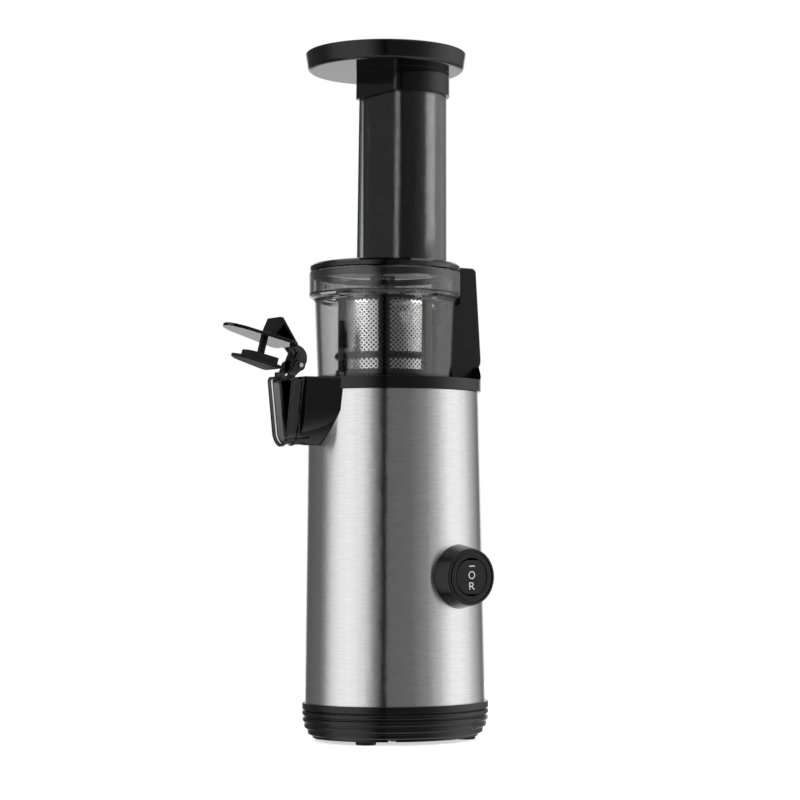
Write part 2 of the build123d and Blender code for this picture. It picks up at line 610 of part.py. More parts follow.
def bowl():
    """Clear bowl with a wider collar; its lugs lock the lid."""
    inner_bottom = BOWL_BOTTOM_RADIUS - BOWL_WALL
    inner_top = BOWL_TOP_RADIUS - BOWL_WALL
    wall = turned([
        (9.6, BOWL_FLOOR), (BOWL_BOTTOM_RADIUS, BOWL_FLOOR), (BOWL_TOP_RADIUS, SHOULDER - 1.0),
        (BOWL_TOP_RADIUS + 0.9, SHOULDER + 0.8), (COLLAR_RADIUS - 0.9, COLLAR_BOTTOM - 1.2),
        (COLLAR_RADIUS, COLLAR_BOTTOM), (COLLAR_RADIUS, COLLAR_TOP - 0.4), (COLLAR_RADIUS - 0.4, COLLAR_TOP),
        (COLLAR_RADIUS - 2.2, COLLAR_TOP), (COLLAR_RADIUS - 2.2, COLLAR_BOTTOM + 1.4),
        (inner_top, SHOULDER + 1.0), (inner_bottom, BOWL_FLOOR + BOWL_WALL), (9.6, BOWL_FLOOR + BOWL_WALL),
    ])
    for turn in range(4):
        wall += Rot(0, 0, 90 * turn + 20) * collar_lug()
    wall -= block(-5.8, 5.8, -35.8, -31.2, 200, 215)
    return wall - block(-24.8, -17.2, -5.8, 5.8, 200, 215)


def ring_piece(outer, inner, bottom, top, start, end):
    """Part of a ring between two angles in degrees."""
    arc = CenterArc((0, 0), outer, start, end - start)
    back = CenterArc((0, 0), inner, end, start - end)
    sides = [Line(arc @ 1, back @ 0), Line(back @ 1, arc @ 0)]
    return extrude(Pos(0, 0, bottom) * make_face(Curve() + [arc, back] + sides), amount=top - bottom)


def collar_lug():
    """L-shaped lug inside the collar: a ledge over the lid's tab and a stop at its end."""
    outer = COLLAR_RADIUS - 2.15
    ledge = ring_piece(outer, outer - 1.1, 262.0, 264.0, -9, 14)
    return ledge + ring_piece(outer, outer - 1.1, 257.6, 264.0, 9, 14)


def bowl_seal():
    """Rubber ring around the hub hole in the bowl floor."""
    floor = BOWL_FLOOR + BOWL_WALL
    return turned([(9.7, 209.3), (9.7, floor), (12.4, floor), (12.4, 209.9), (11, 210.3)])


def column_screw_places():
    return [(side * 7, 50.5) for side in (-1, 1)]


def column_screws():
    screws = []
    for x, y in column_screw_places():
        head = disc(3.0, RING_BOTTOM + 0.3, RING_BOTTOM + 2.2, x, y)
        screws.append(head + disc(1.5, RING_BOTTOM + 2, 221, x, y))
    return Compound(children=screws)


def rear_column():
    """Flat-sided handle behind the bowl, hollowed under the collar."""
    side = make_face(Curve() + [
        Line((44.6, LID_TOP), (53.8, LID_TOP)),
        ThreePointArc((53.8, LID_TOP), (56.0, 273.0), (56.8, 270.6)),
        Line((56.8, 270.6), (60.0, 222)),
        Line((60.0, 222), (59.2, 218)),
        ThreePointArc((59.2, 218), (53.4, 210.7), (43.5, RING_TOP + 0.1)),
        Line((43.5, RING_TOP + 0.1), (36.0, RING_TOP + 0.1)),
        Line((36.0, RING_TOP + 0.1), (36.0, 248)),
        Line((36.0, 248), (44.6, 252.5)),
        Line((44.6, 252.5), (44.6, LID_TOP)),
    ])
    column = extrude(Plane.YZ.offset(-12) * side, amount=24)
    column = fillet(column.edges().filter_by(lambda e: e.center().Y > 50 and abs(abs(e.center().X) - 12) < 0.1
                                             and e.center().Z > 222), 1.6)
    column -= rear_rise()
    column -= disc(BOWL_TOP_RADIUS + 0.15, 200, SHOULDER)
    column -= disc(COLLAR_RADIUS + 0.3, SHOULDER - 1.5, 280)
    for x, y in column_screw_places():
        column -= disc(1.5, 200, 221, x, y)
    return column


def spout_nozzle():
    """Smoky spout with a lip at its mouth, a second lip on its neck and two hinge ears."""
    nozzle = along_y(rim_face(0), RIM_FRONT, RIM_FRONT + 1.6)
    nozzle += along_y(rim_face(1.3), RIM_FRONT + 1, -55)
    nozzle += along_y(rim_face(0.6), BLOCK_FRONT - 2.0, BLOCK_FRONT - 0.8)
    nozzle -= along_y(rim_face(1.5), RIM_FRONT - 1, RIM_FRONT + 2.5)
    nozzle -= along_y(rim_face(2.5), RIM_FRONT - 1, -55.8)
    nozzle -= along_y(rim_face(5.0), -60, -50)
    for side in (-1, 1):
        start = side * 6.9 - 1.1
        foot = block(start, start + 2.2, RIM_FRONT + 1.2, RIM_FRONT + 5.2, 204.9, 209.5)
        web_points = [(-69.2, 206), (-64.9, 207), (-58.8, 212.4), (-60.4, 216), (-64.4, 213.5)]
        web = make_face(Polyline(*web_points, close=True))
        nozzle += foot + extrude(Plane.YZ.offset(start) * web, amount=2.2)
        nozzle += rod_x(3.2, start, start + 2.2, CAP_PIVOT_Y, CAP_PIVOT_Z)
    return nozzle - rod_x(1.3, -20, 20, CAP_PIVOT_Y, CAP_PIVOT_Z)


# ---------------------------------------------------------------- strainer and auger

def strainer_frame():
    """Moulded cage around the sheet: six ribs, a middle band, a floor and a top rim."""
    inner = STRAINER_RADIUS - 1.1
    cage = tube(STRAINER_RADIUS, inner, 210.4, STRAINER_TOP)
    for turn in range(6):
        for low, high in ((212.0, 218.0), (222.0, 251.6)):
            window = ring_piece(STRAINER_RADIUS + 2, inner - 2, low, high, -23.5, 23.5)
            cage -= Rot(0, 0, 60 * turn - 4) * window
    cage += tube(STRAINER_RADIUS + 0.7, STRAINER_RADIUS - 0.1, 219.2, 220.9)
    cage += tube(30.4, inner - 1.0, STRAINER_TOP - 0.1, STRAINER_TOP + 1.6)
    cage += tube(STRAINER_RADIUS, 13.0, BOWL_FLOOR + BOWL_WALL, 211.2)
    return cage - block(-24.8, -17.2, -5.8, 5.8, 200, 215)


def strainer_sheet():
    """Steel sheet rolled into a tube inside the cage; its holes are too fine to model here."""
    inner = STRAINER_RADIUS - 1.2
    return tube(inner, inner - 0.4, 211.4, STRAINER_TOP - 0.4)


def auger():
    """Squeezing screw: a tapered core, two flights and a hub with a hexagonal socket."""
    core = turned([(0, 204), (9.1, 204), (9.1, 211.6), (13.5, 213), (15.5, 216), (12.5, 232),
                   (8.5, 246), (5.5, 251), (3.0, 253), (3.0, 263), (2.2, 264), (0, 264)])
    path = Helix(pitch=34, height=36, radius=17)
    section = Plane(origin=path @ 0, x_dir=(1, 0, 0), z_dir=path % 0) * Pos(1.0, 0) * Rectangle(19, 2.8)
    flight = sweep(section, path=path, is_frenet=True)
    trim = turned([(8.0, 212.4), (FLIGHT_RADIUS - 0.6, 212.4), (FLIGHT_RADIUS, 214.0), (FLIGHT_RADIUS, 240),
                   (20, 247), (11, 251.5), (6.0, 252.0)])
    screw = core
    for turn in range(2):
        screw += (Pos(0, 0, 213) * Rot(0, 0, 180 * turn) * flight) & trim
    hexagon = RegularPolygon(HEX_FLATS / 2 + HEX_GAP, 6, major_radius=False)
    socket = extrude(Pos(0, 0, 203) * hexagon, amount=26.5)
    return screw - socket


# ---------------------------------------------------------------- lid, chute, tray and pusher

def d_face(radius, centre, flat, z, corner):
    """D section: a round back and a flat front."""
    outline = Pos(0, centre) * Circle(radius) - Pos(0, flat - 100) * Rectangle(300, 200)
    return Pos(0, 0, z) * fillet(outline.vertices(), corner)


def d_form(inset, bottom, top, corner=3.0):
    """The tapered D of the chute, drawn in by an inset, between two heights."""
    def section(z):
        share = (z - LID_TOP) / (CHUTE_TOP - LID_TOP)
        radius = CHUTE_BOTTOM_RADIUS + share * (CHUTE_TOP_RADIUS - CHUTE_BOTTOM_RADIUS)
        centre = CHUTE_BOTTOM_CENTRE + share * (CHUTE_TOP_CENTRE - CHUTE_BOTTOM_CENTRE)
        flat = CHUTE_BOTTOM_FLAT + share * (CHUTE_TOP_FLAT - CHUTE_BOTTOM_FLAT)
        return d_face(radius - inset, centre, flat + inset, z, corner)
    return loft([section(bottom), section(top)], ruled=True)


def straight_d(inset, bottom, top, corner=3.0):
    """A D with the section of the chute's top, drawn in by an inset."""
    face = d_face(CHUTE_TOP_RADIUS - inset, CHUTE_TOP_CENTRE, CHUTE_TOP_FLAT + inset, bottom, corner)
    return extrude(face, amount=top - bottom)


def lid():
    """Dark lid with a skirt inside the collar, four tabs and a bearing boss for the auger."""
    plate = turned([(0, COLLAR_TOP + 0.35), (LID_RADIUS - 0.6, COLLAR_TOP + 0.35),
                    (LID_RADIUS, COLLAR_TOP + 1.0), (LID_RADIUS, LID_TOP - 1.6),
                    (LID_RADIUS - 1.4, LID_TOP - 0.4), (LID_RADIUS - 3.0, LID_TOP), (0, LID_TOP)])
    plate += tube(40.2, 38.2, 257.5, COLLAR_TOP + 1)
    for turn in range(4):
        plate += Rot(0, 0, 90 * turn + 20) * ring_piece(41.4, 40.0, 258.2, 261.4, -6, 6)
    plate += block(-3, 3, CHUTE_BOTTOM_FLAT - 0.2, -2, 262, COLLAR_TOP + 1)
    plate += block(-5.6, 5.6, CHUTE_BOTTOM_FLAT + 0.1, -1, 257, COLLAR_TOP + 1)
    plate -= d_form(CHUTE_WALL, 266, 280)
    plate += disc(5.8, 256, 267) + block(-5.6, 5.6, CHUTE_BOTTOM_FLAT + 0.1, 0, 257, 267)
    return plate - disc(3.3, 250, 265)


def lid_seal():
    """Rubber ring in the corner between the lid's skirt and the collar."""
    return tube(41.5, 40.25, 265.2, 268.9)


def feed_chute():
    """Smoky D-shaped chute that stands on the lid."""
    return d_form(0, LID_TOP, CHUTE_TOP) - d_form(CHUTE_WALL, LID_TOP - 1, CHUTE_TOP + 1)


def food_tray():
    """Round tray with a sleeve that fits over the top of the chute."""
    outer, floor = TRAY_RADIUS, TRAY_BOTTOM + 2.2
    section = make_face(Curve() + [
        Line((0, TRAY_BOTTOM), (outer - 4.0, TRAY_BOTTOM)),
        ThreePointArc((outer - 4.0, TRAY_BOTTOM), (outer - 1.95, TRAY_BOTTOM + 0.8),
                      (outer - 1.1, TRAY_BOTTOM + 2.8)),
        Line((outer - 1.1, TRAY_BOTTOM + 2.8), (outer, TRAY_TOP - 0.9)),
        ThreePointArc((outer, TRAY_TOP - 0.9), (outer - 1.1, TRAY_TOP), (outer - 2.2, TRAY_TOP - 0.9)),
        Line((outer - 2.2, TRAY_TOP - 0.9), (outer - 3.4, floor + 0.4)),
        Line((outer - 3.4, floor + 0.4), (outer - 4.0, floor)),
        Line((outer - 4.0, floor), (0, floor)),
        Line((0, floor), (0, TRAY_BOTTOM)),
    ])
    dish = Pos(0, TRAY_Y, 0) * revolve(Plane.XZ * section, Axis.Z)
    dish += d_form(-1.7, SLEEVE_BOTTOM, TRAY_BOTTOM + 0.5)
    return dish - d_form(-0.05, SLEEVE_BOTTOM - 1, TRAY_TOP)


def pusher_body():
    """Hollow plunger with a recessed panel in its flat front."""
    inset = CHUTE_WALL + PUSHER_GAP
    body = straight_d(inset, PUSHER_BOTTOM, CHUTE_TOP + 0.4)
    body -= straight_d(inset + 2.0, PUSHER_BOTTOM + 2.4, CHUTE_TOP + 1, 1.5)
    panel = block(-12.5, 12.5, -10, CHUTE_TOP_FLAT + inset + 1.2, PUSHER_BOTTOM + 5, 368)
    return body - fillet(panel.edges().filter_by(Axis.Y), 3)


def pusher_head():
    """Low domed cap on the plunger, wide enough to stop on the chute."""
    head = straight_d(0.4, CHUTE_TOP + 0.4, PUSHER_TOP, 4.0)
    return fillet(head.edges().group_by(Axis.Z)[-1], 2.8)


# ---------------------------------------------------------------- spout cap

def opened(piece):
    """Swings a piece from the closed place of the cap to its open one."""
    swing = Pos(0, CAP_PIVOT_Y, CAP_PIVOT_Z) * Rot(-CAP_OPEN, 0, 0) * Pos(0, -CAP_PIVOT_Y, -CAP_PIVOT_Z)
    return swing * piece


def cap_plate():
    """Smoky cover plate with two arms that curl back to the hinge pin, drawn closed."""
    outline = shield(13.8, 206.5, 9.4, 178, 162.4, 3.0, 7.0)
    plate = along_y(outline, -73.0, -71.0)
    plate = fillet(plate.edges().group_by(Axis.Y)[0], 0.7)
    arm = make_face(Curve() + [
        Line((-73.0, 199), (-73.0, 210.8)),
        ThreePointArc((-73.0, 210.8), (-69.4, 217.0), (CAP_PIVOT_Y, 216.8)),
        Line((CAP_PIVOT_Y, 216.8), (CAP_PIVOT_Y, 209.6)),
        Line((CAP_PIVOT_Y, 209.6), (-68.9, 210.8)),
        Line((-68.9, 210.8), (-71.0, 207.8)),
        Line((-71.0, 207.8), (-71.0, 199)),
        Line((-71.0, 199), (-73.0, 199)),
    ])
    for side in (-1, 1):
        start = side * 4.1 - 1.2
        plate += extrude(Plane.YZ.offset(start) * arm, amount=2.4)
        plate += rod_x(3.6, start, start + 2.4, CAP_PIVOT_Y, CAP_PIVOT_Z)
    return opened(plate - rod_x(1.32, -20, 20, CAP_PIVOT_Y, CAP_PIVOT_Z))


def cap_lever():
    """Wedge for the thumb on the outside of the plate, open on one side."""
    wedge = make_face(Polyline((-73.02, 210.0), (-85.2, 196.4), (-84.6, 193.6), (-73.02, 191.4), close=True))
    wedge = fillet(wedge.vertices().sort_by(Axis.X)[:2], 0.9)
    hollow = make_face(Polyline((-74.6, 206.4), (-81.8, 198.0), (-74.6, 194.2), close=True))
    lever = extrude(Plane.YZ.offset(-6.2) * wedge, amount=12.4)
    return opened(lever - extrude(Plane.YZ.offset(-4.6) * hollow, amount=12))


def cap_stem():
    return opened(rod_y(2.1, -70.98, -59.6, 0, STEM_Z))


def cap_stopper():
    """Soft stopper on the stem: a thick boss and a thin flange with a domed face."""
    stopper = along_y(shield(8.6, 199.2, 6.2, 185, 179.4, 2.0, 3.0), -61.6, -57.6)
    stopper += along_y(shield(10.2, 202.0, 6.6, 180, 173.2, 2.0, 3.6), -57.7, -56.6)
    stopper += along_y(shield(9.0, 200.8, 5.6, 180, 174.6, 2.0, 3.0), -56.7, -56.1)
    return opened(stopper - rod_y(2.12, -64, -59.55, 0, STEM_Z))


def cap_pin():
    return rod_x(1.25, -9.2, 9.2, CAP_PIVOT_Y, CAP_PIVOT_Z)


# ---------------------------------------------------------------- all pieces

def all_pieces():
    pinion, first_wheel, second_wheel, output_wheel = gear_train()
    return {
        "base_pan": base_pan(), "rubber_feet": rubber_feet(), "tie_rods": tie_rods(),
        "body_shell": body_shell(), "top_deck": top_deck(), "cord_gland": cord_gland(),
        "switch_bezel": switch_bezel(), "switch_housing": switch_housing(),
        "switch_terminals": switch_terminals(), "switch_rocker": switch_rocker(), "rocker_pin": rocker_pin(),
        "motor_can": motor_can(), "motor_end_cap": motor_end_cap(), "carbon_brushes": carbon_brushes(),
        "motor_magnets": motor_magnets(), "motor_bearings": motor_bearings(), "rotor_shaft": rotor_shaft(),
        "armature": armature(), "windings": windings(), "commutator": commutator(),
        "cooling_fan": cooling_fan(), "motor_screws": motor_screws(), "motor_dampers": motor_dampers(),
        "motor_pinion": pinion, "first_gear": first_wheel, "second_gear": second_wheel,
        "output_gear": output_wheel, "gear_pins": gear_pins(), "gearbox_housing": gearbox_housing(),
        "gearbox_cover": gearbox_cover(), "cover_screws": cover_screws(), "drive_bearings": drive_bearings(),
        "drive_shaft": drive_shaft(), "shaft_seal": shaft_seal(), "control_board": control_board(),
        "board_parts": board_parts(), "bowl_base": bowl_base(), "pulp_chute": pulp_chute(), "bowl": bowl(),
        "bowl_seal": bowl_seal(), "rear_column": rear_column(), "column_screws": column_screws(),
        "spout_nozzle": spout_nozzle(), "strainer_frame": strainer_frame(), "strainer_sheet": strainer_sheet(),
        "auger": auger(), "lid": lid(), "lid_seal": lid_seal(), "feed_chute": feed_chute(),
        "food_tray": food_tray(), "pusher_body": pusher_body(), "pusher_head": pusher_head(),
        "cap_plate": cap_plate(), "cap_lever": cap_lever(), "cap_stem": cap_stem(),
        "cap_stopper": cap_stopper(), "cap_pin": cap_pin(),
    }


os.makedirs("parts", exist_ok=True)
for name, piece in all_pieces().items():
    export_step(piece, f"parts/{name}.step")
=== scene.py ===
from math import cos, pi, radians, sin, sqrt

import bmesh
import bpy
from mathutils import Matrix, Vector


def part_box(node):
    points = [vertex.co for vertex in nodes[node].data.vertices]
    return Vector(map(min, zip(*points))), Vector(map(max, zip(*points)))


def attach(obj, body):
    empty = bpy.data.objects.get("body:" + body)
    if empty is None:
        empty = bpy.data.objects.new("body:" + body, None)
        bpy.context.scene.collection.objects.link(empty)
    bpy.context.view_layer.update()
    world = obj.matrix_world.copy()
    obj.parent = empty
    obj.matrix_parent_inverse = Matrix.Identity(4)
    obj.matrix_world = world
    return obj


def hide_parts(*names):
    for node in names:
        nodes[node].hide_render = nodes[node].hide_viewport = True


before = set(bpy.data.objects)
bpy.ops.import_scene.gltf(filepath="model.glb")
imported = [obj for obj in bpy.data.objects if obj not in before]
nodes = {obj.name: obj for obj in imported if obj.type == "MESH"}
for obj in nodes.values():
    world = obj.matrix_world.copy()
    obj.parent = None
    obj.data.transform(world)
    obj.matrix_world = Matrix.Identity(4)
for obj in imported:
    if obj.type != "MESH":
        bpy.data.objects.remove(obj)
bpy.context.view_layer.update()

mm = 0.001
print("frame loaded,", len(nodes), "pieces")

# where the camera stands and what it looks at, in metres and degrees from the front
cameraPlace = {
    "azimuth": 57.0, "distance": 1.399, "height": 0.126, "aimHeight": 0.1954, "aimRight": 0.0087,
    "lens": 108.9, "clipNear": 0.05, "clipFar": 30,
}


def placeCamera():
    turn = radians(cameraPlace["azimuth"])
    back = Vector((sin(turn), -cos(turn), 0))
    right = Vector((cos(turn), sin(turn), 0))
    camera = bpy.data.objects.new("camera", bpy.data.cameras.new("camera"))
    bpy.context.scene.collection.objects.link(camera)
    camera.location = back * cameraPlace["distance"] + Vector((0, 0, cameraPlace["height"]))
    aim = right * cameraPlace["aimRight"] + Vector((0, 0, cameraPlace["aimHeight"]))
    camera.rotation_euler = (aim - camera.location).to_track_quat("-Z", "Y").to_euler()
    camera.data.lens = cameraPlace["lens"]
    camera.data.clip_start, camera.data.clip_end = cameraPlace["clipNear"], cameraPlace["clipFar"]
    bpy.context.scene.camera = camera


def addNode(tree, kind, values=None, **settings):
    node = tree.nodes.new("ShaderNode" + kind)
    for name, value in settings.items():
        setattr(node, name, value)
    for name, value in (values or {}).items():
        node.inputs[name].default_value = value
    return node


socketNames = {"roughness": "Roughness", "metallic": "Metallic", "ior": "IOR",
               "specular": "Specular IOR Level", "transmission": "Transmission Weight",
               "anisotropy": "Anisotropic", "anisotropyTurn": "Anisotropic Rotation"}


def startMaterial(name, **values):
    material = bpy.data.materials.new(name)
    material.use_nodes = True
    tree = material.node_tree
    shader = tree.nodes["Principled BSDF"]
    for key, value in values.items():
        shader.inputs[socketNames[key]].default_value = value
    return material, tree, shader


def startGroup(name, inputs, outputs):
    group = bpy.data.node_groups.new(name, "ShaderNodeTree")
    for socket, kind, value in inputs:
        made = group.interface.new_socket(name=socket, in_out="INPUT", socket_type="NodeSocket" + kind)
        made.default_value = value
    for socket, kind in outputs:
        group.interface.new_socket(name=socket, in_out="OUTPUT", socket_type="NodeSocket" + kind)
    return group, group.nodes.new("NodeGroupInput"), group.nodes.new("NodeGroupOutput")


def useGroup(tree, group, **values):
    node = tree.nodes.new("ShaderNodeGroup")
    node.node_tree = group
    for name, value in values.items():
        node.inputs[name].default_value = value
    return node


def mixColors(tree, factor, first, second):
    mix = addNode(tree, "Mix", data_type="RGBA")
    tree.links.new(factor, mix.inputs[0])
    mix.inputs[6].default_value = first     # the colour sockets of a Mix node are 6 and 7
    mix.inputs[7].default_value = second
    return mix.outputs[2]


def grey(level):
    return (level, level, level, 1.0)


# effects that several materials share, as groups with named inputs

def buildGrain():
    group, given, result = startGroup("grain", [
        ("Stretch", "Vector", (1, 1, 1)), ("Scale", "Float", 400.0), ("Detail", "Float", 3.0),
    ], [("Value", "Float")])
    place = addNode(group, "TexCoord")
    stretch = addNode(group, "VectorMath", operation="MULTIPLY")
    noise = addNode(group, "TexNoise")
    group.links.new(place.outputs["Object"], stretch.inputs[0])
    group.links.new(given.outputs["Stretch"], stretch.inputs[1])
    group.links.new(stretch.outputs[0], noise.inputs["Vector"])
    group.links.new(given.outputs["Scale"], noise.inputs["Scale"])
    group.links.new(given.outputs["Detail"], noise.inputs["Detail"])
    group.links.new(noise.outputs[0], result.inputs["Value"])
    return group


bevelSamples = 4
wearPatches = {"scale": 90.0, "detail": 3.0, "low": 0.35, "high": 0.65}


def buildEdgeWear():
    # a mask along the edges, broken up by patches, and the normal of the rounded edge
    group, given, result = startGroup("edgeWear", [
        ("Radius", "Float", 0.0004), ("Strength", "Float", 2.0), ("Patchiness", "Float", 0.5),
    ], [("Mask", "Float"), ("Rounded", "Vector")])
    bevel = addNode(group, "Bevel", samples=bevelSamples)
    surface = addNode(group, "NewGeometry")
    facing = addNode(group, "VectorMath", operation="DOT_PRODUCT")
    away = addNode(group, "Math", {0: 1.0}, operation="SUBTRACT")
    strong = addNode(group, "Math", operation="MULTIPLY", use_clamp=True)
    place = addNode(group, "TexCoord")
    patches = addNode(group, "TexNoise", {"Scale": wearPatches["scale"], "Detail": wearPatches["detail"]})
    level = addNode(group, "MapRange", {"From Min": wearPatches["low"], "From Max": wearPatches["high"]})
    worn = addNode(group, "Math", operation="MULTIPLY")
    group.links.new(given.outputs["Radius"], bevel.inputs["Radius"])
    group.links.new(bevel.outputs[0], facing.inputs[0])
    group.links.new(surface.outputs["Normal"], facing.inputs[1])
    group.links.new(facing.outputs["Value"], away.inputs[1])
    group.links.new(away.outputs[0], strong.inputs[0])
    group.links.new(given.outputs["Strength"], strong.inputs[1])
    group.links.new(place.outputs["Object"], patches.inputs["Vector"])
    group.links.new(patches.outputs[0], level.inputs["Value"])
    group.links.new(given.outputs["Patchiness"], level.inputs["To Max"])
    group.links.new(strong.outputs[0], worn.inputs[0])
    group.links.new(level.outputs[0], worn.inputs[1])
    group.links.new(worn.outputs[0], result.inputs["Mask"])
    group.links.new(bevel.outputs[0], result.inputs["Rounded"])
    return group


smearShape = {"detail": 5.0, "roughness": 0.6, "distortion": 0.8, "low": 0.3, "high": 0.7}


def buildHandling():
    # faint smears and dust: a value from Low to High
    group, given, result = startGroup("handling", [
        ("Scale", "Float", 25.0), ("Low", "Float", 0.1), ("High", "Float", 0.2),
    ], [("Value", "Float")])
    place = addNode(group, "TexCoord")
    smears = addNode(group, "TexNoise", {"Detail": smearShape["detail"], "Roughness": smearShape["roughness"],
                                         "Distortion": smearShape["distortion"]})
    level = addNode(group, "MapRange", {"From Min": smearShape["low"], "From Max": smearShape["high"]})
    group.links.new(place.outputs["Object"], smears.inputs["Vector"])
    group.links.new(given.outputs["Scale"], smears.inputs["Scale"])
    group.links.new(smears.outputs[0], level.inputs["Value"])
    group.links.new(given.outputs["Low"], level.inputs["To Min"])
    group.links.new(given.outputs["High"], level.inputs["To Max"])
    group.links.new(level.outputs[0], result.inputs["Value"])
    return group


grain, edgeWear, handling = buildGrain(), buildEdgeWear(), buildHandling()
print("shared effects built")


def wireSurface(tree, shader, bump, color, rough, height):
    # colour, roughness and bump as most finishes are wired
    tree.links.new(color, shader.inputs["Base Color"])
    tree.links.new(rough.outputs[0], shader.inputs["Roughness"])
    tree.links.new(height.outputs[0], bump.inputs["Height"])
    tree.links.new(bump.outputs[0], shader.inputs["Normal"])


# moulded plastics and rubber; shine is the specular level, low and high are the roughness, edge is in metres
moulding = {
    "glossBlack": {"color": 0.003, "worn": 0.02, "shine": 0.36, "low": 0.05, "high": 0.10,
                   "bump": 0.02, "grain": 700.0, "edge": 0.00045},
    "satinBlack": {"color": 0.004, "worn": 0.03, "shine": 0.20, "low": 0.22, "high": 0.32,
                   "bump": 0.10, "grain": 1800.0, "edge": 0.0004},
    "softBlack": {"color": 0.003, "worn": 0.003, "shine": 0.30, "low": 0.18, "high": 0.22,
                  "bump": 0.01, "grain": 700.0, "edge": 0.0032},
    "rubber": {"color": 0.005, "worn": 0.02, "shine": 0.3, "low": 0.50, "high": 0.65,
               "bump": 0.15, "grain": 1500.0, "edge": 0.0003},
    "boardBlack": {"color": 0.03, "worn": 0.07, "shine": 0.5, "low": 0.45, "high": 0.60,
                   "bump": 0.05, "grain": 900.0, "edge": 0.0003},
    "gearNylon": {"color": 0.62, "worn": 0.75, "shine": 0.5, "low": 0.38, "high": 0.50,
                  "bump": 0.04, "grain": 900.0, "edge": 0.0002},
}
mouldedSkin = {"wear": 3.0, "patchiness": 0.5, "smears": 22.0, "detail": 3.0, "depth": 0.0002}


def mouldedPlastic(name):
    # skin texture, faint smears and paler worn edges
    look = moulding[name]
    material, tree, shader = startMaterial(name, specular=look["shine"])
    wear = useGroup(tree, edgeWear, Radius=look["edge"], Strength=mouldedSkin["wear"],
                    Patchiness=mouldedSkin["patchiness"])
    smears = useGroup(tree, handling, Scale=mouldedSkin["smears"], Low=look["low"], High=look["high"])
    skin = useGroup(tree, grain, Scale=look["grain"], Detail=mouldedSkin["detail"])
    bump = addNode(tree, "Bump", {"Strength": look["bump"], "Distance": mouldedSkin["depth"]})
    color = mixColors(tree, wear.outputs["Mask"], grey(look["color"]), grey(look["worn"]))
    tree.links.new(wear.outputs["Rounded"], bump.inputs["Normal"])
    wireSurface(tree, shader, bump, color, smears, skin)
    return material


# the motor body's steel: fine lines and broad streaks, both drawn out level around the body
bodyLook = {
    "dark": 0.57, "bright": 0.67, "roughness": 0.17, "spread": 0.02, "anisotropy": 1.0, "turn": 0.25,
    "lines": 9000.0, "lineStretch": 0.012, "streaks": 1300.0, "streakStretch": 0.11, "detail": 2.0,
    "sumLow": 0.6, "sumHigh": 1.4, "bump": 0.04, "depth": 0.00005,
}


def brushedSteel():
    material, tree, shader = startMaterial("brushedSteel", metallic=1.0, anisotropy=bodyLook["anisotropy"],
                                           anisotropyTurn=bodyLook["turn"])
    thin, wide, detail = bodyLook["lineStretch"], bodyLook["streakStretch"], bodyLook["detail"]
    lines = useGroup(tree, grain, Stretch=(thin, thin, 1.0), Scale=bodyLook["lines"], Detail=detail)
    streaks = useGroup(tree, grain, Stretch=(wide, wide, 1.0), Scale=bodyLook["streaks"], Detail=detail)
    both = addNode(tree, "Math", operation="ADD")
    level = addNode(tree, "MapRange", {"From Min": bodyLook["sumLow"], "From Max": bodyLook["sumHigh"]})
    rough = addNode(tree, "MapRange", {"To Min": bodyLook["roughness"] - bodyLook["spread"],
                                       "To Max": bodyLook["roughness"] + bodyLook["spread"]})
    bump = addNode(tree, "Bump", {"Strength": bodyLook["bump"], "Distance": bodyLook["depth"]})
    tree.links.new(lines.outputs[0], both.inputs[0])
    tree.links.new(streaks.outputs[0], both.inputs[1])
    tree.links.new(both.outputs[0], level.inputs["Value"])
    tree.links.new(level.outputs[0], rough.inputs["Value"])
    color = mixColors(tree, level.outputs[0], grey(bodyLook["dark"]), grey(bodyLook["bright"]))
    wireSurface(tree, shader, bump, color, rough, lines)
    return material


# the other metals; low and high are the roughness, upright packs the marks closer in height
metalLooks = {
    "turnedSteel": {"color": (0.60, 0.60, 0.62), "low": 0.16, "high": 0.30, "upright": 12, "edge": 0.0002},
    "canSteel": {"color": (0.30, 0.30, 0.32), "low": 0.30, "high": 0.45, "upright": 1, "edge": 0.0003},
    "sheetSteel": {"color": (0.92, 0.92, 0.92), "low": 0.12, "high": 0.20, "upright": 1, "edge": 0.0001},
    "copper": {"color": (0.60, 0.25, 0.12), "low": 0.22, "high": 0.36, "upright": 1, "edge": 0.0002},
    "bronze": {"color": (0.52, 0.36, 0.17), "low": 0.34, "high": 0.48, "upright": 1, "edge": 0.0002},
}
metalSkin = {"wear": 2.0, "patchiness": 0.6, "smears": 60.0, "marks": 1500.0, "detail": 3.0,
             "bump": 0.06, "depth": 0.0001, "wornGain": 1.35}


def metal(name):
    look = metalLooks[name]
    material, tree, shader = startMaterial(name, metallic=1.0)
    wear = useGroup(tree, edgeWear, Radius=look["edge"], Strength=metalSkin["wear"],
                    Patchiness=metalSkin["patchiness"])
    smears = useGroup(tree, handling, Scale=metalSkin["smears"], Low=look["low"], High=look["high"])
    marks = useGroup(tree, grain, Stretch=(1, 1, look["upright"]), Scale=metalSkin["marks"],
                     Detail=metalSkin["detail"])
    bump = addNode(tree, "Bump", {"Strength": metalSkin["bump"], "Distance": metalSkin["depth"]})
    bright = tuple(min(1.0, value * metalSkin["wornGain"]) for value in look["color"])
    color = mixColors(tree, wear.outputs["Mask"], (*look["color"], 1), (*bright, 1))
    wireSurface(tree, shader, bump, color, smears, marks)
    return material


